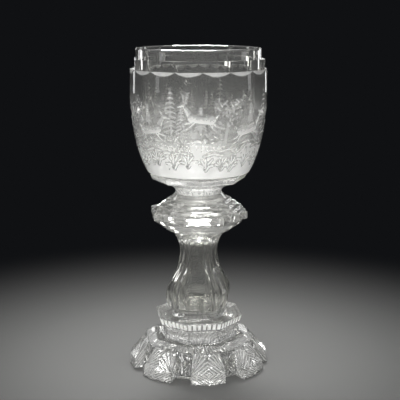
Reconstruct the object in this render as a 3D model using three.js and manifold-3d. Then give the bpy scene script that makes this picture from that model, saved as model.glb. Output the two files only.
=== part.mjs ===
// A cut-glass goblet on a tall stem: bowl, disc knop, panelled stem, plinth and lobed foot.
// Each piece is modelled on its own base at z = 0 and stacked on the one below it.
import * as THREE from 'three';
import { mergeVertices } from 'three/addons/utils/BufferGeometryUtils.js';
import Module from 'manifold-3d';

const wasm = await Module();
wasm.setup();

// Every piece is cut on the same eightfold plan, with a flat side to the front (-Y)
const sides = 8;
const sideAngle = (2 * Math.PI) / sides;
const toFlat = Math.cos(sideAngle / 2); // radius of an eight-sided form's flats for its corners' radius 1

// Heights of the five pieces, from the table up (mm)
const footHeight = 26;
const plinthHeight = 20;
const stemHeight = 75;
const knopHeight = 34;
const bowlHeight = 125;

// Radii of the hot joints above and below the knop, where pieces are melted together (mm)
const knopJoint = 23;
const bowlJoint = 20.5;

// How far each piece ended up turned against the foot (degrees)
const stemTurn = -14;
const knopTurn = -1.3;
const bowlTurn = -4.4;

// Bowl: the rim band, the ground flats below it, the belly, the collar and the inside
const rimRadius = 53.9;
const rimBand = 9;
const lip = 1.6;
const flatBandCorner = 58.9;
const flatBand = 8.7;
const shoulderRadius = 58.5;
const bellyRadius = 58.9;
const waistRadius = 44.4;
const rimWall = 5.6;
const bowlFloor = 11;
const collarTopCorner = 42.2;
const collarBaseCorner = 40.6;
const collarBase = 11.3;
const collarHeight = 5.9;
const neckHeight = 4.5;
const scallops = 16;
const scallopDepth = 3.5;
const scallopSlope = 18;

// Disc knop: an eight-sided disc, stepped above and below
const discCorner = 44;
const discBase = 12.3;
const discThickness = 7;
const discChamfer = 1;
const stepLedge = 1.4;
const stepsAbove = [37.6, 33, 28.5];
const stepAboveRise = 3.4;
const stepsBelow = [38.5, 33.5, 28.5];
const stepBelowRise = 3.7;
const flutesPerSide = 3;
const fluteDepth = 1.3;

// Stem: a baluster cut with four broad panels and a narrow pair between them; a ridge that
// dies out on the bulb splits each broad one. Radii are those of the corners, angles in degrees
const stemBase = 26.6;
const stemWaist = 23.7;
const stemWaistHeight = 4.6;
const bulbRadius = 31.8;
const bulbHeight = 17.5;
const stemNeck = 16.9;
const stemNeckHeight = 59;
const broadPanelBulb = 60;
const broadPanelNeck = 40;

// Plinth: an eight-sided slab over a hollow moulding
const slabTopCorner = 39.9;
const slabBaseCorner = 37.9;
const slabThickness = 7.5;
const slabChamfer = 0.6;
const hollowCorner = 33;
const plinthBaseCorner = 36;

// Foot: eight lobes, each with a pointed shield leaning back to its apex, and fluted notches between
const ledgeCorner = 50.3;
const tableCorner = 41;
const ledgeDrop = 2.7;
const lobeCorner = 61.8;
const lobeTip = 62.7;
const lobeEdge = 9;
const lobeLean = 0.8;
const lobeHalfAngle = 14.3;
const shieldApex = 52;
const shieldDrop = 4.7;
const notchRadius = 51;
const notchHeight = 11;
const notchFlute = 1.4;
const restInner = 46;
const baseHollow = 1;
const baseHollowRun = 2;
const starRays = 16;
const starLength = 42;
const starDepth = 1.6;
const starWidth = 2.4;

// Fineness of the round forms, and how far the cutting tools reach past the glass (mm)
const roundSegments = 64;
const curveSteps = 7;
const toolReach = 5;

const glass = { color: 0xe4e7e3, roughness: 0.04, metalness: 0, transparent: true, opacity: 0.45 };

const radians = (angle) => (angle * Math.PI) / 180;
const corners = (points) => points.map(([r, z]) => new THREE.Vector2(r, z));
const curve = (points, divisions) => new THREE.SplineCurve(corners(points)).getPoints(divisions);

// A point at an angle measured from the front (-Y) towards +X
const polar = (radius, angle, height) =>
  new THREE.Vector3(radius * Math.sin(angle), -radius * Math.cos(angle), height);

// Turns a profile about the z axis
function turned(profile, segments = roundSegments) {
  return new THREE.LatheGeometry(profile, segments).rotateX(Math.PI / 2);
}

// The same with eight flat sides; the profile's radii are those of the corners
const eightSided = (profile) => turned(profile, sides).rotateZ(sideAngle / 2);

// A prism on the z axis, from one height to another
function prism(radius, from, to, segments) {
  return new THREE.CylinderGeometry(radius, radius, to - from, segments)
    .rotateX(Math.PI / 2).translate(0, 0, (from + to) / 2);
}

// Makes a closed solid: position only, shared points merged, no empty triangles at the axis
function solid(geometry) {
  const bare = geometry.clone();
  bare.deleteAttribute('normal');
  bare.deleteAttribute('uv');
  const merged = mergeVertices(bare, 1e-4);
  const kept = [];
  for (let i = 0; i < merged.index.count; i += 3) {
    const [a, b, c] = merged.index.array.slice(i, i + 3);
    if (a !== b && b !== c && c !== a) kept.push(a, b, c);
  }
  return new wasm.Manifold(new wasm.Mesh({
    numProp: 3,
    vertProperties: Float32Array.from(merged.attributes.position.array),
    triVerts: Uint32Array.from(kept),
  }));
}

function geometryOf(manifold) {
  const { vertProperties, triVerts } = manifold.getMesh();
  const geometry = new THREE.BufferGeometry();
  geometry.setAttribute('position', new THREE.BufferAttribute(vertProperties, 3));
  geometry.setIndex(new THREE.BufferAttribute(triVerts, 1));
  return geometry;
}

// A skin over closed rings with equally many points, closed at both ends by a fan to the axis
function lofted(rings) {
  const count = rings[0].length;
  const points = rings.flat();
  const index = [];
  for (let base = 0; base < points.length - count; base += count) {
    for (let i = 0; i < count; i++) {
      const a = base + i;
      const b = base + ((i + 1) % count);
      index.push(a, b, b + count, a, b + count, a + count);
    }
  }
  const top = points.length - count;
  points.push(new THREE.Vector3(0, 0, rings[0][0].z), new THREE.Vector3(0, 0, rings.at(-1)[0].z));
  for (let i = 0; i < count; i++) {
    const next = (i + 1) % count;
    index.push(points.length - 2, next, i, points.length - 1, top + i, top + next);
  }
  return new THREE.BufferGeometry().setFromPoints(points).setIndex(index);
}

// Outline of the bowl from the joint up the outside, over the lip and down the inside
function bowlProfile(shoulder, bandTop) {
  const collarTop = collarBase + collarHeight;
  const floor = collarTop + bowlFloor;
  const inner = rimRadius - rimWall;
  const collarFlat = collarBaseCorner * toFlat - 0.6;
  const underside = curve([
    [bowlJoint, 0], [bowlJoint - 0.4, neckHeight / 2], [bowlJoint + 2.5, neckHeight + 1.2],
    [bowlJoint + 7, neckHeight + 3.2], [collarFlat, collarBase],
  ], curveSteps);
  const belly = curve([
    [waistRadius, collarTop + 2.2], [waistRadius + 4.9, collarTop + 12.4],
    [waistRadius + 10.4, collarTop + 31], [bellyRadius - 0.8, collarTop + 52],
    [bellyRadius, shoulder - 22], [shoulderRadius, shoulder],
  ], curveSteps * 2);
  const rim = corners([
    [shoulderRadius, bandTop], [rimRadius, bandTop], [rimRadius, bowlHeight - lip],
    [rimRadius - lip * 0.3, bowlHeight - lip * 0.3], [rimRadius - lip, bowlHeight],
    [inner + lip, bowlHeight], [inner + lip * 0.3, bowlHeight - lip * 0.3], [inner, bowlHeight - lip],
  ]);
  const inside = curve([
    [inner, shoulder - 24], [inner - 1.2, floor + 36], [inner - 5, floor + 15],
    [inner - 15, floor + 4], [inner - 32, floor + 0.4], [0, floor],
  ], curveSteps * 2);
  return [new THREE.Vector2(0, 0), ...underside, ...corners([[collarFlat + 2, collarTop]]),
    ...belly, ...rim, ...inside];
}

// A thick round cup, ground flat on eight sides under the rim band, with a scalloped shoulder
// and an eight-sided collar round its base
function bowl() {
  const bandTop = bowlHeight - rimBand;
  const shoulder = bandTop - flatBand;
  const collarTop = collarBase + collarHeight;
  const ring = solid(prism(bellyRadius + toolReach, shoulder, bandTop, roundSegments));
  const flats = solid(prism(flatBandCorner, shoulder, bandTop, sides).rotateZ(sideAngle / 2));
  let cup = solid(turned(bowlProfile(shoulder, bandTop))).subtract(ring.subtract(flats));

  // Two bevels on each side, flat and steep, whose feet run in arcs round the belly
  const slope = Math.tan(radians(scallopSlope));
  const reach = scallopDepth + toolReach;
  const width = shoulderRadius / 2;
  const wedge = new THREE.Shape(corners([
    [shoulderRadius - scallopDepth * slope, 0],
    [shoulderRadius + (reach - scallopDepth) * slope, -reach],
    [shoulderRadius + (reach - scallopDepth) * slope, 0],
  ]));
  const cutter = new THREE.ExtrudeGeometry(wedge, { depth: width, bevelEnabled: false })
    .translate(0, 0, -width / 2).rotateX(Math.PI / 2).translate(0, 0, shoulder);
  for (let i = 0; i < scallops; i++) {
    const along = ((i + 0.5) * 2 * Math.PI) / scallops;
    cup = cup.subtract(solid(cutter.clone().rotateZ(along)));
  }

  // The collar's corners stand under the middle of the flats
  const collar = eightSided(corners([
    [0, collarBase], [collarBaseCorner - 1.4, collarBase], [collarBaseCorner, collarBase + 1.2],
    [collarTopCorner, collarTop - 0.8], [collarTopCorner - 1, collarTop], [0, collarTop],
  ])).rotateZ(sideAngle / 2);
  return cup.add(solid(collar));
}

// An eight-sided disc hollowed by flutes round its rim, between stepped prisms, on round joints;
// the steps above have their corners over the middle of the disc's sides, those below are round
function knop() {
  const discTop = discBase + discThickness;
  const lowest = discBase - stepsBelow.length * stepBelowRise;
  const highest = discTop + stepsAbove.length * stepAboveRise;
  let disc = solid(eightSided(corners([
    [0, discBase], [discCorner - discChamfer, discBase], [discCorner, discBase + discChamfer],
    [discCorner, discTop - discChamfer], [discCorner - discChamfer, discTop], [0, discTop],
  ])));

  // Flutes: upright wheel cuts, three to a side, that meet in sharp edges
  const chord = (2 * discCorner * Math.sin(sideAngle / 2)) / flutesPerSide;
  const wheel = chord ** 2 / (8 * fluteDepth) + fluteDepth / 2;
  const reach = discCorner * toFlat - fluteDepth + wheel;
  for (let side = 0; side < sides; side++) {
    for (let i = 0; i < flutesPerSide; i++) {
      const along = (i - (flutesPerSide - 1) / 2) * chord;
      const cutter = prism(wheel, discBase - toolReach, discTop + toolReach, roundSegments)
        .translate(along, -reach, 0).rotateZ(side * sideAngle);
      disc = disc.subtract(solid(cutter));
    }
  }

  const above = [[0, discBase + discChamfer]];
  above.push([stepsAbove[0] + stepLedge, discBase + discChamfer]);
  stepsAbove.forEach((radius, i) => {
    const z = discTop + i * stepAboveRise;
    above.push([radius + stepLedge, z], [radius, z + stepAboveRise - stepLedge / 2]);
  });
  const last = stepsAbove.at(-1) - stepLedge;
  above.push([last, highest], [0, highest]);

  const below = [];
  stepsBelow.forEach((radius, i) => {
    const z = discBase - i * stepBelowRise;
    below.unshift([radius, z - stepBelowRise + stepLedge / 2], [radius + stepLedge, z]);
  });
  below.unshift([0, 0], [knopJoint, 0], [stepsBelow.at(-1) - stepLedge, lowest]);
  below.push([stepsBelow[0] + stepLedge, discTop - discChamfer], [0, discTop - discChamfer]);

  const neck = corners([
    [0, discTop], [last * toFlat - 0.4, discTop], [last * toFlat - 0.4, highest],
    [bowlJoint + 2, (highest + knopHeight) / 2], [bowlJoint, knopHeight], [0, knopHeight],
  ]);
  return disc.add(solid(eightSided(corners(above)).rotateZ(sideAngle / 2)))
    .add(solid(turned(corners(below)))).add(solid(turned(neck)));
}

// Panels that narrow up the neck and flare to the joint under the knop
function stem() {
  const line = curve([
    [stemBase, 0], [stemWaist, stemWaistHeight], [bulbRadius - 2.2, stemWaistHeight + 4],
    [bulbRadius, bulbHeight], [bulbRadius - 1.7, bulbHeight + 8], [bulbRadius - 7.6, bulbHeight + 18],
    [stemNeck + 3.1, stemNeckHeight - 17], [stemNeck + 0.3, stemNeckHeight - 7],
    [stemNeck, stemNeckHeight], [stemNeck + 1.5, stemNeckHeight + 7], [knopJoint, stemHeight],
  ], curveSteps * 4);
  const quarter = Math.PI / 2;
  const { lerp, smoothstep } = THREE.MathUtils;
  return solid(lofted(line.map(({ x: radius, y: z }) => {
    const narrowing = smoothstep(z, bulbHeight + 12, stemNeckHeight - 5);
    const half = radians(lerp(broadPanelBulb, broadPanelNeck, narrowing) / 2);
    const ridge = lerp(radius * Math.cos(half), radius, smoothstep(z, bulbHeight + 8, stemNeckHeight));
    return [0, 1, 2, 3].flatMap((i) => [
      polar(ridge, i * quarter, z), polar(radius, i * quarter + half, z),
      polar(radius, (i + 0.5) * quarter, z), polar(radius, (i + 1) * quarter - half, z),
    ]);
  })));
}

// An eight-sided slab carried on a hollow moulding
function plinth() {
  const slabBase = plinthHeight - slabThickness;
  const hollow = curve([
    [plinthBaseCorner, 0], [hollowCorner + 0.6, slabBase * 0.28], [hollowCorner, slabBase * 0.55],
    [hollowCorner + 1.6, slabBase * 0.85], [slabBaseCorner - 1.2, slabBase],
  ], curveSteps);
  return solid(eightSided([
    new THREE.Vector2(0, 0), ...hollow,
    ...corners([
      [slabBaseCorner, slabBase + slabChamfer], [slabTopCorner, plinthHeight - slabChamfer],
      [slabTopCorner - slabChamfer, plinthHeight], [0, plinthHeight],
    ]),
  ]));
}

// Angles across one lobe and the notch after it, from the lobe's centre; a lobe's edge appears
// twice, once on the lobe and once in the notch, and so makes an upright side
function footStations() {
  const half = radians(lobeHalfAngle);
  const notch = sideAngle - 2 * half;
  const stations = [-1, -0.5, 0, 0.5, 1].map((share) => ({ angle: share * half, share }));
  for (let i = 0; i <= sides; i++) {
    const hollow = notchFlute * Math.abs(Math.sin((2 * Math.PI * i) / sides));
    stations.push({ angle: half + (notch * i) / sides, hollow });
  }
  return stations;
}

// Lobes with leaning shields round an eight-sided ledge, and a star cut in the hollowed underside
function foot() {
  const ledge = footHeight - ledgeDrop;
  const across = (corner, angle) => (corner * toFlat) / Math.cos(angle % sideAngle);
  const between = (from, to, share) => from + (to - from) * Math.abs(share);
  const rings = Array.from({ length: 7 }, () => []);
  for (let lobe = 0; lobe < sides; lobe++) {
    for (const { angle, share, hollow } of footStations()) {
      const place = lobe * sideAngle + angle;
      const fromFlat = angle > sideAngle / 2 ? angle - sideAngle : angle;
      const onLobe = share !== undefined;
      const edge = onLobe ? between(lobeTip, lobeCorner, share) : notchRadius - hollow;
      const upper = onLobe ? edge - lobeLean : edge;
      const ridge = onLobe ? between(shieldApex, lobeCorner - lobeLean, share) : edge;
      const wallTop = onLobe ? lobeEdge : notchHeight;
      const ridgeHeight = onLobe ? between(ledge - shieldDrop, lobeEdge, share) : notchHeight;
      rings[0].push(polar(restInner - baseHollowRun, place, baseHollow));
      rings[1].push(polar(restInner, place, 0));
      rings[2].push(polar(edge, place, 0));
      rings[3].push(polar(upper, place, wallTop));
      rings[4].push(polar(ridge, place, ridgeHeight));
      rings[5].push(polar(across(ledgeCorner, fromFlat), place, ledge));
      rings[6].push(polar(across(tableCorner, fromFlat), place, footHeight));
    }
  }
  let body = solid(lofted(rings));
  const ray = new THREE.OctahedronGeometry(1).scale(starWidth / 2, starLength / 2, starDepth)
    .translate(0, -starLength / 2, baseHollow);
  for (let i = 0; i < starRays; i++) {
    body = body.subtract(solid(ray.clone().rotateZ((i * 2 * Math.PI) / starRays)));
  }
  return body;
}

const goblet = new THREE.Group();

// Sets a piece on the stack at a height, turned about the axis
function place(name, shape, height, turn) {
  const mesh = new THREE.Mesh(geometryOf(shape), new THREE.MeshStandardMaterial(glass));
  mesh.name = name;
  mesh.position.z = height;
  mesh.rotation.z = radians(turn);
  goblet.add(mesh);
}

const plinthLevel = footHeight;
const stemLevel = plinthLevel + plinthHeight;
const knopLevel = stemLevel + stemHeight;
const bowlLevel = knopLevel + knopHeight;

place('foot', foot(), 0, 0);
place('plinth', plinth(), plinthLevel, 0);
place('stem', stem(), stemLevel, stemTurn);
place('disc_knop', knop(), knopLevel, knopTurn);
place('bowl', bowl(), bowlLevel, bowlTurn);

export default goblet;
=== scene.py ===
import math
import bpy
import bmesh
import numpy as np
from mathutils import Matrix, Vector


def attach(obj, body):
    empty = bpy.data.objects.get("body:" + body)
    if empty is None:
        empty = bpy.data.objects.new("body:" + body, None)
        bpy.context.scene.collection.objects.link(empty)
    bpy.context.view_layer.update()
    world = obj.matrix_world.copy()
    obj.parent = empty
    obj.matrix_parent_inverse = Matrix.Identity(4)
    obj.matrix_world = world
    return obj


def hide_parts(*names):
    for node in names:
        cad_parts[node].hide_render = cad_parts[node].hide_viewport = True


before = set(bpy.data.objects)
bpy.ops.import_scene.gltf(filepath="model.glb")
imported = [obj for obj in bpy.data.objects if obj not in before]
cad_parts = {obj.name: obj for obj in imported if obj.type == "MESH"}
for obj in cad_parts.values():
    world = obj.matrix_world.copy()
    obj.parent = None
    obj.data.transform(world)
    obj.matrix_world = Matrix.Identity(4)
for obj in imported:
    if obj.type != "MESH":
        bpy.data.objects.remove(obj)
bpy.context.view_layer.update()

# Sizes are real ones in millimetres and degrees. Angles run from the front (-Y) towards +X
mm = 0.001
tiny = 0.001  # less than this is nothing
sides = 8
sideAngle = 2 * math.pi / sides
halfSide = sideAngle / 2
toFlat = math.cos(halfSide)  # how far out an octagon's flats lie when its corners lie at 1
plinthLevel, stemLevel, knopLevel, bowlLevel = 26, 46, 121, 155  # where each piece stands


def linear(shade):  # sRGB hex to the linear colour that the shaders take
    parts = [int(shade[i : i + 2], 16) / 255 for i in (1, 3, 5)]
    return [c / 12.92 if c <= 0.04045 else ((c + 0.055) / 1.055) ** 2.4 for c in parts] + [1]


def put(tree, kind, sockets=None, **settings):  # adds one node, sets it and links it
    made = tree.nodes.new(kind)
    for name, value in settings.items():
        setattr(made, name, value)
    for name, value in (sockets or {}).items():
        if isinstance(value, bpy.types.NodeSocket):
            tree.links.new(value, made.inputs[name])
        else:
            made.inputs[name].default_value = value
    return made


def newMaterial(name):
    material = bpy.data.materials.new(name)
    material.use_nodes = True
    material.node_tree.nodes.clear()
    return material, material.node_tree


# Shapes: rings of points about the axis, skinned from the bottom up
def spline(points, steps):  # a smooth line through the points
    given = np.array(points, float)
    line = []
    for k in range(steps + 1):
        t = (len(given) - 1) * k / steps
        i = min(int(t), len(given) - 2)
        w = t - i
        a, b, c, d = given[max(i - 1, 0)], given[i], given[i + 1], given[min(i + 2, len(given) - 1)]
        leaving, arriving = (c - a) / 2, (d - b) / 2
        cubic = (2 * b - 2 * c + leaving + arriving) * w**3
        square = (-3 * b + 3 * c - 2 * leaving - arriving) * w**2
        line.append(cubic + square + leaving * w + b)
    return np.array(line)


def evenly(count):  # angles spread evenly round the axis
    return np.arange(count) * 2 * math.pi / count


def smooth(low, high, value):
    t = np.clip((value - low) / (high - low), 0, 1)
    return t * t * (3 - 2 * t)


def eightSided(corner, angles, turn=0):  # radius of an octagon with a flat at the turn
    fromFlat = (angles - turn + halfSide) % sideAngle - halfSide
    return corner * toFlat / np.cos(fromFlat)


def ring(angles, radius, height):
    one = np.ones_like(angles)
    return np.stack([angles, radius * one, height * one], 1)


def addObject(name, data):
    thing = bpy.data.objects.new(name, data)
    bpy.context.scene.collection.objects.link(thing)
    return thing


def addPiece(name, places, faces):
    mesh = bpy.data.meshes.new(name)
    mesh.from_pydata(places, [], faces)
    return addObject(name, mesh)


def loft(name, rings, level=0, turn=0):  # a ring may have fewer points than the last, by a whole factor
    places, faces, starts = [], [], []
    for points in rings:
        starts.append(len(places))
        angle = points[:, 0] + math.radians(turn)
        x, y = points[:, 1] * np.sin(angle), -points[:, 1] * np.cos(angle)
        places += (np.stack([x, y, points[:, 2] + level], 1) * mm).tolist()
    for k in range(len(rings) - 1):
        low, high, n, m = starts[k], starts[k + 1], len(rings[k]), len(rings[k + 1])
        each = n // m
        for i in range(m):
            j = (i + 1) % m
            fan = [low + (i * each + step) % n for step in range(each + 1)]
            if each == 1:
                faces.append((fan[0], fan[1], high + j, high + i))
                continue
            middle = each // 2
            faces += [(fan[step], fan[step + 1], high + i) for step in range(middle)]
            faces.append((fan[middle], high + j, high + i))
            faces += [(fan[step], fan[step + 1], high + j) for step in range(middle, each)]
    for start, points, bottom in ((starts[0], rings[0], True), (starts[-1], rings[-1], False)):
        hub, n = len(places), len(points)
        places.append([0, 0, (points[0][2] + level) * mm])
        for i in range(n):
            j = (i + 1) % n
            faces.append((hub, start + j, start + i) if bottom else (hub, start + i, start + j))
    return addPiece(name, places, faces)


def finishPiece(piece, node, glasses, sizes, air=None):  # the melted joints are the second glass
    made = bmesh.new()  # merges doubles and turns the faces outwards
    made.from_mesh(piece.data)
    bmesh.ops.remove_doubles(made, verts=made.verts, dist=2 * tiny * mm)
    bmesh.ops.dissolve_degenerate(made, edges=made.edges, dist=tiny * mm)
    bmesh.ops.recalc_face_normals(made, faces=made.faces)
    if air:  # air inside the glass: its skin faces the air
        outside = len(made.faces)
        made.from_mesh(air.data)
        made.faces.ensure_lookup_table()
        bmesh.ops.reverse_faces(made, faces=made.faces[outside:])
        bpy.data.objects.remove(air)
    made.to_mesh(piece.data)
    made.free()
    for face in piece.data.polygons:
        face.use_smooth = True
    piece.data.set_sharp_from_angle(angle=math.radians(sizes["sharp"]))  # keeps the cut edges crisp
    piece.data.materials.clear()
    for glass in glasses:
        piece.data.materials.append(glass)
    spots, level, slack = piece.data.vertices, 0.99, 0.05
    for face in piece.data.polygons:
        reach = max(math.hypot(*spots[i].co[:2]) for i in face.vertices)
        for z, radius in sizes["joints"].items():
            atJoint = abs(face.center.z - z * mm) < tiny * mm and reach < (radius + slack) * mm
            if atJoint and abs(face.normal.z) > level:
                face.material_index = glasses.index(meltedJoint)
    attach(piece, "root")
    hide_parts(node)
    print(node, "made of", len(piece.data.polygons), "faces")


def whiten(piece, values):  # how matt each point is made, which the engraved glass reads; on the bowl some of it is painted light
    layer = piece.data.attributes.new("matt", "FLOAT", "POINT")
    layer.data.foreach_set("value", values)


# Lead crystal, wheel cut and polished: clear and brilliant, faintly warm, with soft polishing
# waves that bend what is seen through it and a slight bloom of wear
crystal = {"tint": "#f6f6f1", "gloss": 0.012, "worn": 0.05, "wear": 5, "ior": 1.54, "clear": 0.95,
           "wave": 16, "waveHeight": 0.05}
clearGlass, tree = newMaterial("leadCrystalCutPolished")
at = put(tree, "ShaderNodeTexCoord").outputs["Object"]
wear = put(tree, "ShaderNodeTexNoise", {"Vector": at, "Scale": 1 / (crystal["wear"] * mm), "Detail": 3.0})
rough = put(tree, "ShaderNodeMapRange", {
    "Value": wear.outputs["Fac"], "To Min": crystal["gloss"], "To Max": crystal["worn"]})
waves = put(tree, "ShaderNodeTexNoise", {"Vector": at, "Scale": 1 / (crystal["wave"] * mm), "Detail": 0.0})
bump = put(tree, "ShaderNodeBump", {
    "Height": waves.outputs["Fac"], "Distance": crystal["waveHeight"] * mm, "Strength": 1.0})
shader = put(tree, "ShaderNodeBsdfPrincipled", {
    "Base Color": linear(crystal["tint"]), "Roughness": rough.outputs["Result"], "IOR": crystal["ior"],
    "Transmission Weight": crystal["clear"], "Normal": bump.outputs["Normal"]})
put(tree, "ShaderNodeOutputMaterial", {"Surface": shader.outputs["BSDF"]})

# Cut fields that were never fully polished: fine wheel lines, drawn 1.3 mm apart so that they
# show, leave a grey bloom over the clear glass. The wave texture draws 20 rings in 2 pi
fineCut = {"line": 1.3, "depth": 0.035, "gloss": 0.05, "clear": 0.85, "drift": 9, "waver": 2.5}
cutBloom, tree = newMaterial("leadCrystalFineCutBloom")
at = put(tree, "ShaderNodeTexCoord").outputs["Object"]
shift = put(tree, "ShaderNodeTexNoise", {"Vector": at, "Scale": 1 / (fineCut["drift"] * mm), "Detail": 1.0})
lines = put(tree, "ShaderNodeTexWave", {
    "Vector": at, "Scale": 1 / (fineCut["line"] * mm) / 20 * 2 * math.pi, "Distortion": fineCut["waver"],
    "Detail": 1.0, "Detail Scale": 0.6}, wave_type="RINGS", rings_direction="Z", wave_profile="TRI")
both = put(tree, "ShaderNodeMath", {0: lines.outputs["Fac"], 1: shift.outputs["Fac"]}, operation="ADD")
bump = put(tree, "ShaderNodeBump", {
    "Height": both.outputs[0], "Distance": fineCut["depth"] * mm, "Strength": 1.0})
shader = put(tree, "ShaderNodeBsdfPrincipled", {
    "Base Color": linear(crystal["tint"]), "Roughness": fineCut["gloss"], "IOR": crystal["ior"],
    "Transmission Weight": fineCut["clear"], "Normal": bump.outputs["Normal"]})
put(tree, "ShaderNodeOutputMaterial", {"Surface": shader.outputs["BSDF"]})

# The same crystal where the wheel has left it matt: a fine ground surface that scatters
# light and looks white, as much as the piece's own "matt" value says at each point; on the bowl that
# value also holds a painted glow, painted highlights and painted shading. Its grain is drawn half a
# millimetre wide, so that it shows
engraved = {"tint": "#fbfbf8", "matt": 0.62, "scatter": 0.9, "grain": 0.5, "grainHeight": 0.04,
            "grainy": (0.84, 1.04), "stroke": 4, "strokeFrom": 0.3, "strokeTo": 0.65, "uneven": (0.68, 1.0)}
engravedGlass, tree = newMaterial("leadCrystalEngravedMatt")
at = put(tree, "ShaderNodeTexCoord").outputs["Object"]
amount = put(tree, "ShaderNodeAttribute", attribute_name="matt").outputs["Fac"]
grain = put(tree, "ShaderNodeTexNoise", {"Vector": at, "Scale": 1 / (engraved["grain"] * mm), "Detail": 2.0})
grainy = put(tree, "ShaderNodeMapRange", {
    "Value": grain.outputs["Fac"], "To Min": engraved["grainy"][0], "To Max": engraved["grainy"][1]})
strokes = put(tree, "ShaderNodeTexNoise", {
    "Vector": at, "Scale": 1 / (engraved["stroke"] * mm), "Detail": 3.0, "Roughness": 0.6, "Distortion": 1.5})
uneven = put(tree, "ShaderNodeMapRange", {
    "Value": strokes.outputs["Fac"], "From Min": engraved["strokeFrom"], "From Max": engraved["strokeTo"],
    "To Min": engraved["uneven"][0], "To Max": engraved["uneven"][1]})
mottled = put(tree, "ShaderNodeMath", {0: amount, 1: uneven.outputs["Result"]}, operation="MULTIPLY")
white = put(tree, "ShaderNodeMath", {
    0: mottled.outputs[0], 1: grainy.outputs["Result"]}, operation="MULTIPLY", use_clamp=True)
rough = put(tree, "ShaderNodeMapRange", {
    "Value": white.outputs[0], "To Min": crystal["gloss"], "To Max": engraved["matt"]})
clear = put(tree, "ShaderNodeMapRange", {
    "Value": white.outputs[0], "To Min": crystal["clear"], "To Max": 1 - engraved["scatter"]})
bump = put(tree, "ShaderNodeBump", {
    "Height": grain.outputs["Fac"], "Distance": engraved["grainHeight"] * mm, "Strength": white.outputs[0]})
shader = put(tree, "ShaderNodeBsdfPrincipled", {
    "Base Color": linear(engraved["tint"]), "Roughness": rough.outputs["Result"], "IOR": crystal["ior"],
    "Transmission Weight": clear.outputs["Result"], "Normal": bump.outputs["Normal"]})
put(tree, "ShaderNodeOutputMaterial", {"Surface": shader.outputs["BSDF"]})

# Upright prisms ground with a fine stone and left matt: white where light falls on them. The
# marks of the grit are drawn 1.2 mm wide, so that they show
stoneGround = {"tint": "#fafaf7", "gloss": 0.35, "grit": 1.2, "gritFrom": 0.35, "gritTo": 0.65,
               "clear": (0.1, 0.7)}
groundGlass, tree = newMaterial("leadCrystalStoneGround")
at = put(tree, "ShaderNodeTexCoord").outputs["Object"]
grit = put(tree, "ShaderNodeTexNoise", {"Vector": at, "Scale": 1 / (stoneGround["grit"] * mm), "Detail": 2.0})
clear = put(tree, "ShaderNodeMapRange", {
    "Value": grit.outputs["Fac"], "From Min": stoneGround["gritFrom"], "From Max": stoneGround["gritTo"],
    "To Min": stoneGround["clear"][0], "To Max": stoneGround["clear"][1]})
shader = put(tree, "ShaderNodeBsdfPrincipled", {
    "Base Color": linear(stoneGround["tint"]), "Roughness": stoneGround["gloss"], "IOR": crystal["ior"],
    "Transmission Weight": clear.outputs["Result"]})
put(tree, "ShaderNodeOutputMaterial", {"Surface": shader.outputs["BSDF"]})

# A melted joint between two pieces has glass on both sides, so it is left quite clear and
# nothing is seen of it
meltedJoint, tree = newMaterial("meltedGlassJoint")
through = put(tree, "ShaderNodeBsdfTransparent", {"Color": (1, 1, 1, 1)})
put(tree, "ShaderNodeOutputMaterial", {"Surface": through.outputs["BSDF"]})
print("five finishes of glass made")

# Stem: a blown baluster with air inside, cut with four broad panels and a narrow pair between
# them; a ridge that dies out on the bulb splits each broad one. A mitre cut follows every edge
balusterStem = {
    "corners": [(26.6, 0), (23.7, 4.6), (29.6, 8.6), (31.8, 17.5), (30.1, 25.5), (24.2, 35.5),
                (20.0, 42), (17.2, 52), (16.9, 59), (18.4, 66), (23, 75)],
    "air": [(8, 4.2), (16, 4.8), (22, 8), (25.5, 17.5), (24, 25.5), (18.4, 35.5),
            (14.4, 42), (11.6, 52), (11.3, 59), (12, 66), (8, 71)],
    "broadBulb": 60, "broadNeck": 40, "narrowFrom": 29.5, "narrowTo": 54, "ridgeFrom": 25.5, "ridgeTo": 59,
    "mitre": 1.7, "mitreDepth": 1.2, "mitreShare": 0.3, "fadeLow": 3, "fadeHigh": 4, "turn": -14,
    "rings": 120, "airAround": 64, "joints": {stemLevel: 27, knopLevel: 24}, "sharp": 40,
}
sizes = balusterStem


def mitreEnd(corner, other):  # how far the cut along a corner reaches on the way to another
    gap = np.linalg.norm(other - corner)
    return corner + (other - corner) * min(balusterStem["mitre"], balusterStem["mitreShare"] * gap) / gap


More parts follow.
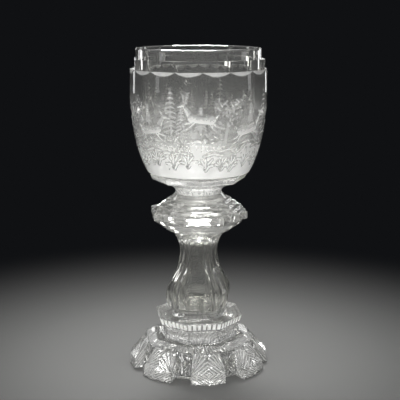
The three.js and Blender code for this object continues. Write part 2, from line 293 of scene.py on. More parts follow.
stemRings = []
stemTop = sizes["corners"][-1][1]
for radius, z in spline(sizes["corners"], sizes["rings"]):
    narrowing = smooth(sizes["narrowFrom"], sizes["narrowTo"], z)
    broad = sizes["broadBulb"] + (sizes["broadNeck"] - sizes["broadBulb"]) * narrowing
    half = math.radians(broad / 2)
    rise = smooth(sizes["ridgeFrom"], sizes["ridgeTo"], z)
    ridge = radius * (math.cos(half) + (1 - math.cos(half)) * rise)
    cut = smooth(0, sizes["fadeLow"], z) * smooth(stemTop, stemTop - sizes["fadeHigh"], z)
    inQuarter = [(ridge, 0, rise), (radius, half, 1), (radius, math.pi / 4, 1)]
    inQuarter.append((radius, math.pi / 2 - half, 1))
    corners = [(r, q * math.pi / 2 + a, deep) for q in range(4) for r, a, deep in inQuarter]
    outline = np.array([(r * math.sin(a), r * math.cos(a)) for r, a, deep in corners])
    points = []
    for i, corner in enumerate(outline):
        following, deep = outline[(i + 1) % len(outline)], corners[i][2]
        before, after = mitreEnd(corner, outline[i - 1]), mitreEnd(corner, following)
        chord = (before + after) / 2
        middle = chord + (corner - chord) * (1 - deep * cut)
        inward = -corner / np.linalg.norm(corner) * sizes["mitreDepth"] * deep * cut
        for t in (-1, -0.5, 0, 0.5, 1):
            point = (before * (1 - t) + after * (1 + t)) / 2 + (middle - chord) * (1 - abs(t))
            points.append(point + inward * (1 + math.cos(math.pi * t)) / 2)
        panelEnd = mitreEnd(following, corner)
        points += [after + (panelEnd - after) * t for t in (0.2, 0.4, 0.6, 0.8)]
    x, y = np.array(points).T
    stemRings.append(np.stack([np.arctan2(x, y), np.hypot(x, y), z * np.ones(len(points))], 1))
stem = loft("balusterStem", stemRings, stemLevel, sizes["turn"])
around = evenly(sizes["airAround"])
airRings = [ring(around, radius, z) for radius, z in spline(sizes["air"], sizes["rings"] // 2)]
air = loft("blownAir", airRings, stemLevel, sizes["turn"])
finishPiece(stem, "stem", [clearGlass, meltedJoint], sizes, air)

# Disc knop: a fluted eight-sided disc, stepped above with its corners over the disc's sides,
# stepped round below
discKnop = {
    "disc": 44, "base": 12.3, "thick": 7, "chamfer": 1, "ledge": 1.4, "above": (37.6, 33, 28.5), "rise": 3.4,
    "below": (38.5, 33.5, 28.5), "drop": 3.7, "flutes": 3, "fluteDepth": 1.3, "perFlute": 12,
    "lowJoint": 23, "highJoint": 20.5, "seat": 0.4, "flare": 2, "height": bowlLevel - knopLevel, "turn": -1.3,
    "joints": {knopLevel: 23, bowlLevel: 20.5}, "sharp": 20,
}
sizes = discKnop
steps = len(sizes["above"])
chord = 2 * sizes["disc"] * math.sin(halfSide) / sizes["flutes"]
flat = sizes["disc"] * toFlat
cusps = [math.atan2((i - sizes["flutes"] / 2) * chord, flat) for i in range(sizes["flutes"] + 1)]
oneSide = np.concatenate([np.linspace(a, b, sizes["perFlute"] + 1)[:-1] for a, b in zip(cusps, cusps[1:])])
angles = np.concatenate([oneSide + side * sideAngle for side in range(sides)])
wheel = chord**2 / (8 * sizes["fluteDepth"]) + sizes["fluteDepth"] / 2  # of a radius that cuts so deep
fluted = []
for a in oneSide:
    radius = flat / math.cos(a)
    for i in range(sizes["flutes"]):
        x, y = (i - (sizes["flutes"] - 1) / 2) * chord, flat - sizes["fluteDepth"] + wheel
        along = x * math.sin(a) + y * math.cos(a)
        inside = along**2 - x**2 - y**2 + wheel**2
        if inside > 0:
            radius = min(radius, along - math.sqrt(inside))
    fluted.append(radius)
fluted = np.tile(fluted, sides)
top, ledge, chamfer = sizes["base"] + sizes["thick"], sizes["ledge"], sizes["chamfer"]
outline = [(sizes["lowJoint"], 0), (sizes["below"][-1] - ledge, sizes["base"] - steps * sizes["drop"])]
for i in reversed(range(steps)):
    z = sizes["base"] - i * sizes["drop"]
    outline += [(sizes["below"][i], z - sizes["drop"] + ledge / 2), (sizes["below"][i] + ledge, z)]
outline += [(fluted - chamfer, sizes["base"]), (fluted, sizes["base"] + chamfer),
            (fluted, top - chamfer), (fluted - chamfer, top)]
for i in range(steps):
    z, corner = top + i * sizes["rise"], sizes["above"][i]
    outline.append((eightSided(corner + ledge, angles, halfSide), z))
    outline.append((eightSided(corner, angles, halfSide), z + sizes["rise"] - ledge / 2))
highest, last = top + steps * sizes["rise"], sizes["above"][-1] - ledge
outline += [(eightSided(last, angles, halfSide), highest), (last * toFlat - sizes["seat"], highest),
            (sizes["highJoint"] + sizes["flare"], (highest + sizes["height"]) / 2),
            (sizes["highJoint"], sizes["height"])]
knop = loft("discKnop", [ring(angles, r, z) for r, z in outline], knopLevel, sizes["turn"])
finishPiece(knop, "disc_knop", [cutBloom, meltedJoint], sizes)

# Plinth: an eight-sided slab on a hollow moulding, its edge cut with upright prisms, each
# between two polished flats, and the moulding with arcs about the lower corners of each side
cutPlinth = {
    "base": 36, "hollow": 33, "hollowLine": ((0.6, 0.28), (0, 0.55), (1.6, 0.85)), "hollowSteps": 28,
    "overhang": 1.2, "slabBase": 37.9, "slabTop": 39.9, "slab": 7.5, "chamfer": 0.6,
    "height": stemLevel - plinthLevel, "prisms": 7, "prismDepth": 0.9,
    "prismProfile": (0, 0, 0.6, 1, 0.6, 0), "prismEnds": ((0.08, 0), (0.16, 1), (0.84, 1), (0.92, 0)),
    "arc": 2.4, "arcDepth": 0.35, "arcBloom": 0.42, "arcFade": 1, "levelFace": 0.9, "groundSlant": 0.15,
    "joints": {plinthLevel: 36, stemLevel: 26.7}, "sharp": 12,
}
sizes = cutPlinth
chamfer, hollow = sizes["chamfer"], sizes["hollow"]
under = sizes["height"] - sizes["slab"]
cuts = sizes["prisms"] * len(sizes["prismProfile"])
acrossSide = np.arctan(np.linspace(-1, 1, cuts + 1)[:-1] * math.tan(halfSide))
angles = np.concatenate([acrossSide + k * sideAngle for k in range(sides)])
groove = np.tile(sizes["prismProfile"], sizes["prisms"] * sides) * sizes["prismDepth"]
moulding = [(sizes["base"], 0)] + [(hollow + out, under * share) for out, share in sizes["hollowLine"]]
moulding.append((sizes["slabBase"] - sizes["overhang"], under))
fromFlat = (angles + halfSide) % sideAngle - halfSide
toCorner = 1 - np.abs(np.tan(fromFlat)) / math.tan(halfSide)
fromCorner = toCorner * hollow * math.sin(halfSide)
outline, arcs, fade = [], [], sizes["arcFade"]
for r, z in spline(moulding, sizes["hollowSteps"]):
    cut = 1 - np.abs(2 * (np.hypot(fromCorner, z) / sizes["arc"] % 1) - 1)
    arcs.append(cut * smooth(0, fade, z) * smooth(under, under - fade, z) * smooth(0, fade, fromCorner))
    outline.append((eightSided(r, angles) - sizes["arcDepth"] * arcs[-1], z))
outline.append((eightSided(sizes["slabBase"], angles), under + chamfer))
for share, deep in sizes["prismEnds"]:
    z = under + chamfer + (sizes["slab"] - 2 * chamfer) * share
    corner = sizes["slabBase"] + (sizes["slabTop"] - sizes["slabBase"]) * share
    outline.append((eightSided(corner, angles) - groove * deep, z))
outline.append((eightSided(sizes["slabTop"], angles), sizes["height"] - chamfer))
outline.append((eightSided(sizes["slabTop"] - chamfer, angles), sizes["height"]))
stemAngles = (stemRings[0][:, 0] + math.radians(balusterStem["turn"])) % (2 * math.pi)
order = np.argsort(stemAngles)
underStem = np.interp(angles, stemAngles[order], stemRings[0][order, 1], period=2 * math.pi)
outline.append((underStem, sizes["height"]))
plinth = loft("cutPlinth", [ring(angles, r, z) for r, z in outline], plinthLevel)
values = np.zeros(len(plinth.data.vertices))
values[: len(arcs) * len(angles)] = np.concatenate(arcs) * sizes["arcBloom"]
whiten(plinth, values)
glasses = [cutBloom, meltedJoint, groundGlass, engravedGlass]
finishPiece(plinth, "plinth", glasses, sizes)
for face in plinth.data.polygons:
    height = face.center.z / mm - plinthLevel
    if abs(face.normal.z) < sizes["levelFace"] and height < under:
        face.material_index = glasses.index(engravedGlass)
    side = round(math.atan2(face.center.x, -face.center.y) / sideAngle) * sideAngle
    aslant = abs(face.normal.x * math.cos(side) + face.normal.y * math.sin(side))
    if aslant > sizes["groundSlant"] and height > under + chamfer:
        face.material_index = glasses.index(groundGlass)

# Foot: half of a lobe and its notch is laid out face by face, cut, and mirrored; Geometry
# Nodes set the whole lobe eight times round the axis. Nested mitre cuts fill the lozenge on
# each lobe, fans of rays the fields between them, and upright cuts the ledge
cutFoot = {
    "height": plinthLevel, "ledge": 23.3, "ledgeCorner": 50.3, "tableCorner": 41, "tip": 62.7, "corner": 61.8,
    "lean": 0.8, "edge": 9, "halfAngle": 14.3, "apex": 52, "apexDrop": 4.7,
    "notch": 51, "notchHeight": 11, "notchSteps": 8, "flute": 1.4,
    "restInner": 46, "hollow": 1, "hollowRun": 2, "starLength": 42, "starWidth": 2.4, "starDepth": 1.6,
    "nested": 4, "nestedDepth": 0.42, "rays": 6, "rayDepth": 0.55, "rayFrom": 0.3, "rayTo": 0.88,
    "ledgeCuts": 7, "ledgeDepth": 0.4, "ledgeEnds": (0.15, 0.85),
    "cheekCut": 2.2, "cheekRows": 15, "cheekColumns": 11, "border": 0.8, "bloom": 0.42,
    "joints": {plinthLevel: 36}, "sharp": 12,
}
sizes = cutFoot


def spot(radius, angle, height):
    a = math.radians(angle)
    return Vector((radius * math.sin(a), -radius * math.cos(a), height))


def onSide(corner, angle, height):  # a point on a flat side of an octagon
    return spot(corner * toFlat / math.cos(math.radians(angle)), angle, height)


# The half lobe's corners: along its middle, at its side and at the middle of the notch
half, quarter, ledgeHeight = sizes["halfAngle"], math.degrees(halfSide), sizes["ledge"]
tipLow, tipHigh = spot(sizes["tip"], 0, 0), spot(sizes["tip"] - sizes["lean"], 0, sizes["edge"])
sideLow, sideHigh = spot(sizes["corner"], half, 0), spot(sizes["corner"] - sizes["lean"], half, sizes["edge"])
apex = spot(sizes["apex"], 0, ledgeHeight - sizes["apexDrop"])
ledgeMiddle, ledgeSide = (onSide(sizes["ledgeCorner"], a, ledgeHeight) for a in (0, half))
tableMiddle, tableNotch = (onSide(sizes["tableCorner"], a, sizes["height"]) for a in (0, quarter))
seatMiddle, seatNotch = (onSide(cutPlinth["base"], a, sizes["height"]) for a in (0, quarter))
inner = [spot(sizes["restInner"], a, 0) for a in (0, half, quarter)]
sunk = [spot(sizes["restInner"] - sizes["hollowRun"], a, sizes["hollow"]) for a in (0, half, quarter)]
centre, hub = Vector((0, 0, sizes["hollow"])), Vector((0, 0, sizes["height"]))

# The flute of the notch, from below up to the lip of the ledge
notchLow, notchHigh, lip = [], [], []
for k in range(sizes["notchSteps"] + 1):
    a = half + (quarter - half) * k / sizes["notchSteps"]
    radius = sizes["notch"] - sizes["flute"] * abs(math.sin(math.pi * k / sizes["notchSteps"]))
    notchLow.append(spot(radius, a, 0))
    notchHigh.append(spot(radius, a, sizes["notchHeight"]))
    lip.append(onSide(sizes["ledgeCorner"], a, ledgeHeight))

# The fan runs from the lobe's shoulder to the apex and along the ledge, every second ray cut in
targets = [apex, apex.lerp(ledgeMiddle, 0.5), ledgeMiddle]
targets += [ledgeMiddle.lerp(ledgeSide, k / sizes["rays"]) for k in range(1, sizes["rays"] + 1)]
outward = (ledgeSide - apex).cross(ledgeMiddle - apex).normalized()
outward = outward if outward.z > 0 else -outward
rays = []
for k, target in enumerate(targets):
    cut = outward * (sizes["rayDepth"] if k % 2 else 0)
    onRay = [sideHigh.lerp(target, share) - cut for share in (sizes["rayFrom"], sizes["rayTo"])]
    rays.append(onRay + [target])
sunkRays = {tuple(round(c, 3) for c in p) for ray in rays[1::2] for p in ray[:2]}
plain, lozenge, ledge, cheek = range(4)
faces = [(cheek, [sideLow, notchLow[0], notchHigh[0], ledgeSide, rays[-1][1], rays[-1][0], sideHigh])]
faces += [(plain, outline) for outline in (
    [tableMiddle, tableNotch, seatNotch, seatMiddle], [seatMiddle, seatNotch, hub],
    [tipLow, sideLow, notchLow[0], inner[1], inner[0]], notchLow + [inner[2], inner[1]],
    [inner[0], inner[1], sunk[1], sunk[0]], [inner[1], inner[2], sunk[2], sunk[1]])]
faces.append((lozenge, [tipLow, sideLow, sideHigh, tipHigh]))
faces.append((lozenge, [tipHigh, sideHigh, rays[0][0], rays[0][1], apex]))
faces.append((ledge, targets[2:] + lip[1:] + [tableNotch, tableMiddle]))
for k in range(sizes["notchSteps"]):
    faces.append((plain, [notchLow[k], notchLow[k + 1], notchHigh[k + 1], notchHigh[k]]))
    faces.append((plain, [notchHigh[k], notchHigh[k + 1], lip[k + 1], lip[k]]))
for a, b in zip(rays, rays[1:]):
    faces.append((plain, [sideHigh, a[0], b[0]]))
    faces += [(plain, [a[i], a[i + 1], b[i + 1], b[i]]) for i in range(2)]

# Four halves of the star's rays underneath, and the glass left between them
flanks, ends = [], []
for a, way in ((0, 1), (quarter / 2, -1), (quarter / 2, 1), (quarter, -1)):
    tangent = Vector((math.cos(math.radians(a)), math.sin(math.radians(a)), 0)) * way * sizes["starWidth"] / 2
    middle = spot(sizes["starLength"] / 2, a, sizes["hollow"] + sizes["starDepth"])
    ends.append(spot(sizes["starLength"], a, sizes["hollow"]))
    flanks.append(spot(sizes["starLength"] / 2, a, sizes["hollow"]) + tangent)
    faces += [(plain, [centre, middle, flanks[-1]]), (plain, [middle, ends[-1], flanks[-1]])]
faces += [(plain, [centre, flanks[i], ends[i], ends[i + 1], flanks[i + 1]]) for i in (0, 2)]
faces += [(plain, [ends[2 * i], sunk[i], sunk[i + 1], ends[2 * i + 1]]) for i in (0, 1)]

made = bmesh.new()
kind = made.faces.layers.int.new("kind")
bloom = made.verts.layers.float.new("matt")
known = {}
for which, outline in faces:
    points = []
    for p in outline:
        key = tuple(round(c, 3) for c in p)
        known[key] = known.get(key) or made.verts.new(p)
        known[key][bloom] = sizes["bloom"] if key in sunkRays else 0
        points.append(known[key])
    made.faces.new(points)[kind] = which


def bisect(which, point, normal):  # divides the faces of one kind by a plane
    cutting = [f for f in made.faces if f[kind] == which]
    parts = set(cutting) | {e for f in cutting for e in f.edges} | {v for f in cutting for v in f.verts}
    bmesh.ops.bisect_plane(made, geom=list(parts), dist=tiny / 10, plane_co=point, plane_no=normal)


def awayFrom(line, point):
    a, b = line
    share = (point - a).dot(b - a) / (b - a).length_squared
    return (point - a - (b - a) * max(0, min(1, share))).length


def sink(which, depthAt, outline):  # lowers what lies inside the outline, and whitens its depth
    made.normal_update()
    moves = []
    for v in {v for f in made.faces if f[kind] == which for v in f.verts}:
        away = min(awayFrom(line, v.co) for line in outline)
        up = Vector((v.co.x, v.co.y, 0)).normalized() + Vector((0, 0, 1))
        normals = (f.normal if f.normal.dot(up) > 0 else -f.normal for f in v.link_faces if f[kind] == which)
        normal = sum(normals, Vector()).normalized()
        if abs(v.co.x) < tiny:
            normal.x = 0
        depth = depthAt(v.co) * min(1, away / cutFoot["border"])
        moves.append((v, normal * depth, cutFoot["bloom"] * depth / cutFoot["nestedDepth"]))
    for v, move, white in moves:
        v.co -= move
        v[bloom] = max(v[bloom], white)


def nesting(p):  # how far out on the lozenge: 0 at its middle, 1 along its sides
    span, rise = sideHigh - tipHigh, (apex if p.z > cutFoot["edge"] else tipLow) - tipHigh
    return (p.x - tipHigh.x) / span.x + (p.z - tipHigh.z) / rise.z


def alternate(share, depth):  # full depth at every odd step, none at the even ones
    return depth * (1 - abs((share % 2) - 1))


steps = 2 * sizes["nested"]
for k in range(1, 2 * steps):
    point = tipHigh.lerp(sideHigh, k / steps)
    for corner in (apex, tipLow):
        if corner is tipLow or k < steps:
            across = (sideHigh - tipHigh).cross(corner - tipHigh)
            bisect(lozenge, point, (corner - sideHigh).cross(across))
lozengeSides = [(sideHigh, apex), (tipLow, sideLow), (sideLow, sideHigh)]
sink(lozenge, lambda p: alternate(nesting(p) * steps, cutFoot["nestedDepth"]), lozengeSides)

ledgeSteps = 2 * sizes["ledgeCuts"]
for k in range(1, ledgeSteps):
    bisect(ledge, Vector(), spot(1, quarter * k / ledgeSteps + 90, 0))
for share in sizes["ledgeEnds"]:
    bisect(ledge, Vector((0, 0, ledgeHeight + (sizes["height"] - ledgeHeight) * share)), Vector((0, 0, 1)))


def ledgeCut(p):
    return alternate(math.degrees(math.atan2(p.x, -p.y)) / quarter * ledgeSteps, cutFoot["ledgeDepth"])


sink(ledge, ledgeCut, [(ledgeMiddle, lip[-1]), (tableMiddle, tableNotch)])

# The cheeks are the lobe's sides in the notches, cut level
along = (ledgeSide - sideHigh).normalized()
fall = along.cross((ledgeSide - sideHigh).cross(notchLow[0] - sideLow).normalized())
fall = fall if fall.z < 0 else -fall
for k in range(1, sizes["cheekRows"] + 1):
    bisect(cheek, sideHigh + fall * (k * sizes["cheekCut"] / 2), fall)
for k in range(1, sizes["cheekColumns"] + 1):
    bisect(cheek, sideLow + along * (k * sizes["cheekCut"]), along)


def cheekCut(p):
    return alternate((p - sideHigh).dot(fall) / cutFoot["cheekCut"] * 2, cutFoot["nestedDepth"])


cheekCorners = [sideLow, notchLow[0], notchHigh[0], ledgeSide, sideHigh]
sink(cheek, cheekCut, list(zip(cheekCorners, cheekCorners[1:] + cheekCorners[:1])))

lobe = bpy.data.meshes.new("lobe")
bmesh.ops.scale(made, verts=made.verts, vec=(mm, mm, mm))
everything = made.verts[:] + made.edges[:] + made.faces[:]
bmesh.ops.mirror(made, geom=everything, axis="X", merge_dist=2 * tiny * mm)
made.to_mesh(lobe)
made.free()
foot = addObject("cutFoot", lobe)

# Sets its geometry the given number of times round the axis
tree = bpy.data.node_groups.new("lobesRound", "GeometryNodeTree")
named = {}
for name, way, socket in (
        ("Geometry", "INPUT", "NodeSocketGeometry"), ("Lobes", "INPUT", "NodeSocketInt"),
        ("Glass", "INPUT", "NodeSocketMaterial"), ("Geometry", "OUTPUT", "NodeSocketGeometry")):
    named[name] = tree.interface.new_socket(name, in_out=way, socket_type=socket).identifier
given = put(tree, "NodeGroupInput").outputs
single = put(tree, "GeometryNodeGeometryToInstance", {"Geometry": given["Geometry"]})
several = put(tree, "GeometryNodeDuplicateElements", {
    "Geometry": single.outputs["Instances"], "Amount": given["Lobes"]}, domain="INSTANCE")
share = put(tree, "ShaderNodeMath", {
    0: several.outputs["Duplicate Index"], 1: given["Lobes"]}, operation="DIVIDE")
angle = put(tree, "ShaderNodeMath", {0: share.outputs[0], 1: 2 * math.pi}, operation="MULTIPLY")
turning = put(tree, "ShaderNodeCombineXYZ", {"Z": angle.outputs[0]})
turned = put(tree, "GeometryNodeRotateInstances", {
    "Instances": several.outputs["Geometry"], "Rotation": turning.outputs[0], "Local Space": False})
whole = put(tree, "GeometryNodeRealizeInstances", {"Geometry": turned.outputs["Instances"]})
glassed = put(tree, "GeometryNodeSetMaterial", {
    "Geometry": whole.outputs["Geometry"], "Material": given["Glass"]})
put(tree, "NodeGroupOutput", {"Geometry": glassed.outputs["Geometry"]})
lobes = foot.modifiers.new("lobes", "NODES")
lobes.node_group = tree
lobes[named["Lobes"]], lobes[named["Glass"]] = sides, engravedGlass
depsgraph = bpy.context.evaluated_depsgraph_get()
footMesh = bpy.data.meshes.new_from_object(foot.evaluated_get(depsgraph))
foot.modifiers.clear()
foot.data = footMesh
finishPiece(foot, "foot", [engravedGlass, meltedJoint], sizes)

# Bowl: a thick cup, ground flat under the rim band, scalloped at the shoulder, on an
# eight-sided collar; the belly is engraved on its outside
engravedBowl = {
    "height": 125, "joint": 20.5, "rim": 53.9, "rimBand": 9, "lip": 1.6, "soften": 0.5, "bandCorner": 58.9,
    "band": 8.7, "shoulder": 58.5, "belly": 58.9, "bellyTop": 22, "waist": 44.4, "wall": 5.6, "wallFoot": 24,
    "floor": 11, "collarBase": 40.6, "collarTop": 42.2, "collarFrom": 11.3, "collar": 5.9,
    "collarInner": 37.9, "neck": 4.5, "pinch": 0.4, "turn": -4.4, "scallops": 16, "scallopDepth": 3.5,
    "scallopSlope": 18, "deepest": 6, "scallopRings": 4, "around": 512, "aroundInside": 128,
    "underSteps": 24, "bellySteps": 400, "bellyRings": 118, "cavitySteps": 44, "dropSteps": 1200,
    "neckEnd": 1.8, "neckRings": 18, "neckHazeAndPaintedGlow": 0.55,
    "collarHazeAndPaintedGlow": 0.32, "scallopPaintedHighlight": 0.4, "neckLine": [(2.5, 1.2), (7, 3.2)],
    "collarLow": [(-1.4, 0), (0, 1.2)], "collarHigh": [(0, -0.8), (-1, 0)],
    "waistLine": [(0, 2.2), (4.9, 12.4), (10.4, 31)], "bellyLine": [(-0.8, 52)],
    "floorLine": [(-1.2, 36), (-5, 15), (-15, 4), (-32, 0.4)],
    "joints": {bowlLevel: 20.5}, "sharp": 24, "crisp": 8,
}
sizes = engravedBowl
bandTop = sizes["height"] - sizes["rimBand"]
shoulder = bandTop - sizes["band"]
collarTop = sizes["collarFrom"] + sizes["collar"]
bowlFloor = collarTop + sizes["floor"]
wall = sizes["rim"] - sizes["wall"]
angles, coarse = evenly(sizes["around"]), evenly(sizes["aroundInside"])


def moved(radius, height, line):  # its points are (out, up) from there
    return [(radius + out, height + up) for out, up in line]


underside = [(sizes["joint"], 0), (sizes["joint"] - sizes["pinch"], sizes["neck"] / 2)]
underside += moved(sizes["joint"], sizes["neck"], sizes["neckLine"])
underside.append((sizes["collarBase"] * toFlat - sizes["neckEnd"], sizes["collarFrom"]))
belly = moved(sizes["waist"], collarTop, sizes["waistLine"])
belly += moved(sizes["belly"], collarTop, sizes["bellyLine"])
belly += [(sizes["belly"], shoulder - sizes["bellyTop"]), (sizes["shoulder"], shoulder)]
belly = spline(belly, sizes["bellySteps"])

# Each scallop is ground by a leaning flat; its drop is where that flat comes out of the belly
slope = math.tan(math.radians(sizes["scallopSlope"]))
scallop = 2 * math.pi / sizes["scallops"]
fromMiddle = (angles % scallop) - scallop / 2
drops = np.linspace(0, sizes["deepest"], sizes["dropSteps"] + 1)
flatAtShoulder = sizes["shoulder"] - sizes["scallopDepth"] * slope
plane = (flatAtShoulder + drops[:, None] * slope) / np.cos(fromMiddle)[None, :]
meets = plane >= np.interp(shoulder - drops, belly[:, 1], belly[:, 0])[:, None]
drop = drops[np.argmax(meets, 0)]

outside = list(spline(underside, sizes["underSteps"]))
collarEdges = moved(sizes["collarBase"], sizes["collarFrom"], sizes["collarLow"])
collarEdges += moved(sizes["collarTop"], collarTop, sizes["collarHigh"])
outside += [(eightSided(corner, angles, halfSide), z) for corner, z in collarEdges]
outside.append((sizes["collarInner"], collarTop))
firstBelly = len(outside)
for t in np.linspace(0, 1, sizes["bellyRings"]):
    z = belly[0, 1] + (shoulder - drop - belly[0, 1]) * t
    outside.append((np.interp(z, belly[:, 1], belly[:, 0]), z))
lastBelly = len(outside)
for k in range(1, sizes["scallopRings"] + 1):
    left = 1 - k / sizes["scallopRings"]
    edge = (flatAtShoulder + drop * left * slope) / np.cos(fromMiddle)
    outside.append((edge, shoulder - drop * left))
octagon = np.minimum(eightSided(sizes["bandCorner"], angles), sizes["shoulder"])
outside += [(np.minimum(octagon, edge - 0.03), shoulder), (octagon, shoulder + 1), (octagon, bandTop)]
rim, lipSize, soften, height = sizes["rim"], sizes["lip"], sizes["soften"], sizes["height"]
outside += [(rim, bandTop), (rim, height - lipSize), (rim - soften, height - soften), (rim - lipSize, height)]
cavity = [(wall + lipSize, height), (wall + soften, height - soften), (wall, height - lipSize)]
cavityLine = [(wall, shoulder - sizes["wallFoot"])] + moved(wall, bowlFloor, sizes["floorLine"])
cavity += list(spline(cavityLine + [(0.5, bowlFloor)], sizes["cavitySteps"]))
rings = [ring(angles, r, z) for r, z in outside] + [ring(coarse, r, z) for r, z in cavity]

# The engraving is drawn on the unrolled belly: u runs round it, v is the height, both in mm.
# Every stroke is a wheel cut with a half width at each end; it is domed and whitest along its
# lower edge, which is painted shading of light from above, and the matt ground is thinned round it
frieze = {
    "round": 58, "seed": 11, "stations": 8, "deer": 26, "halo": 1.6, "thinned": 0.5, "contrast": 1.6,
    "mottles": 420, "finest": 0.3, "edge": 0.9, "fullDepth": 3, "fullTone": 1.5, "tone": 0.72,
    "shading": 0.34,
    "tones": {"deer": 0.9, "tree": 0.85, "grass": 1.35, "earth": 1.1},
    "depths": {"deer": 0.8, "tree": 0.4, "leaf": 0.3, "grass": 0.4, "earth": 0.3},
    "ground": [(22, 0.98), (30, 0.9), (40, 0.78), (50, 0.64), (60, 0.52), (70, 0.38), (80, 0.22), (90, 0.08),
               (100, 0)],
}
tones, depths, stations = frieze["tones"], frieze["depths"], frieze["stations"]
acrossV = np.array([rings[k][:, 2] for k in range(firstBelly, lastBelly)])
acrossU = frieze["round"] * angles[None, :] * np.ones_like(acrossV)
turnLength = 2 * math.pi * frieze["round"]
dice = np.random.default_rng(frieze["seed"])


def wrapped(du):  # the shorter way round the bowl
    return (du + turnLength / 2) % turnLength - turnLength / 2


# The ground whitens towards the base, with a waving edge, and is mottled like foliage
heights, shares = zip(*frieze["ground"])
aroundBowl = acrossU / turnLength * 2 * math.pi
waving = 3 * np.sin(aroundBowl * 5) + 2 * np.sin(aroundBowl * 13 + 1)
matt = np.interp(acrossV + waving, heights, shares)
for k in range(frieze["mottles"]):
    u, v, spread = dice.uniform(0, turnLength), dice.uniform(24, 88), dice.uniform(1.5, 5)
    du = wrapped(acrossU - u)
    matt *= 1 + dice.uniform(-0.3, 0.25) * np.exp(-(du**2 + (acrossV - v) ** 2) / spread**2)
carved = np.zeros_like(acrossV)


def engrave(strokes, tone, depth, thinned=frieze["thinned"]):  # a stroke: two ends and two half widths
    low = min(min(a[1], b[1]) - wide - 2 for a, b, wide, last in strokes)
    high = max(max(a[1], b[1]) + wide + 2 for a, b, wide, last in strokes)
    rows = (acrossV.min(1) > low) & (acrossV.max(1) < high)
    if not rows.any():
        return
    v, u = acrossV[rows], acrossU[rows]
    cover, relief, white, halo = (np.zeros_like(v) for i in range(4))
    for a, b, wideA, wideB in strokes:
        du, dv, strokeU, strokeV = wrapped(u - a[0]), v - a[1], b[0] - a[0], b[1] - a[1]
        t = np.clip((du * strokeU + dv * strokeV) / (strokeU * strokeU + strokeV * strokeV + 1e-9), 0, 1)
        away = np.hypot(du - t * strokeU, dv - t * strokeV)
        wide = np.maximum(wideA + (wideB - wideA) * t, frieze["finest"])
        here = np.clip((wide - away) / frieze["edge"] + 0.5, 0, 1)
        dome = np.clip(1 - (away / (wide + 0.4)) ** 2, 0, 1)
        relief = np.maximum(relief, dome * depth * np.minimum(1, wide / frieze["fullDepth"]))
        # painted shading: the matt is whitened below the stroke's axis and thinned above it, as light from
        # above would fall on the cut
        shaded = frieze["shading"] * np.clip((dv - t * strokeV) / wide, -1, 1)
        shaded = shaded * np.minimum(1, wide / frieze["fullTone"])
        white = np.where(here > cover, tone * (frieze["tone"] - shaded), white)
        cover = np.maximum(cover, here)
        halo = np.maximum(halo, np.clip((wide + frieze["halo"] - away) / frieze["halo"], 0, 1))
    matt[rows] = matt[rows] * (1 - thinned * halo * (1 - cover)) * (1 - cover) + white * cover
    carved[rows] = np.maximum(carved[rows] * (1 - cover), relief)


def path(points, widths, place=(0, 0), size=1, facing=1):
    spots = [(place[0] + facing * x * size, place[1] + y * size) for x, y in points]
    return [(a, b, wa * size, wb * size) for a, b, wa, wb in zip(spots, spots[1:], widths, widths[1:])]


def deer(u, v, facing, size, antlers):  # points and half widths are shares of its size
    lines = [
        ([(-0.34, 0.0), (-0.05, 0.0), (0.28, 0.06)], [0.16, 0.125, 0.145]),  # body
        ([(0.32, 0.12), (0.47, 0.36), (0.53, 0.46)], [0.11, 0.07, 0.065]),  # neck
        ([(0.53, 0.46), (0.72, 0.39)], [0.07, 0.032]),  # head, ear, tail
        ([(0.50, 0.50), (0.40, 0.57)], [0.035, 0.012]),
        ([(-0.50, 0.08), (-0.60, 0.16)], [0.05, 0.012]),
        ([(0.30, -0.06), (0.56, -0.14), (0.50, -0.36)], [0.065, 0.036, 0.022]),  # fore legs
        ([(0.22, -0.08), (0.42, -0.28), (0.62, -0.38)], [0.065, 0.033, 0.02]),
        ([(-0.38, -0.05), (-0.52, -0.22), (-0.80, -0.30)], [0.095, 0.04, 0.02]),  # hind legs
        ([(-0.30, -0.08), (-0.42, -0.30), (-0.66, -0.44)], [0.085, 0.036, 0.02])]
    if antlers:
        lines += [([(0.50, 0.52), (0.40, 0.70), (0.46, 0.88)], [0.022, 0.02, 0.012]),
                  ([(0.42, 0.66), (0.55, 0.78)], [0.018, 0.012]),
                  ([(0.42, 0.78), (0.33, 0.90)], [0.016, 0.012]),
                  ([(0.54, 0.52), (0.54, 0.70), (0.62, 0.84)], [0.022, 0.018, 0.012])]
    strokes = [stroke for points, widths in lines for stroke in path(points, widths, (u, v), size, facing)]
    engrave(strokes, tones["deer"], depths["deer"])


def fir(u, base, height):  # nine pairs of drooping branches, shorter towards the top
    lines = [((u, base), (u, base + height), 1.1, 0.35)]
    for k in range(9):
        v, spread = base + height * (0.22 + 0.085 * k), height * 0.24 * (1 - k / 10)
        for way in (-1, 1):
            bend, tip = (u + way * spread * 0.6, v - spread * 0.2), (u + way * spread, v - spread * 0.55)
            lines += [((u, v), bend, 1.0, 0.7), (bend, tip, 0.7, 0.3)]
    engrave(lines, tones["tree"], depths["tree"])


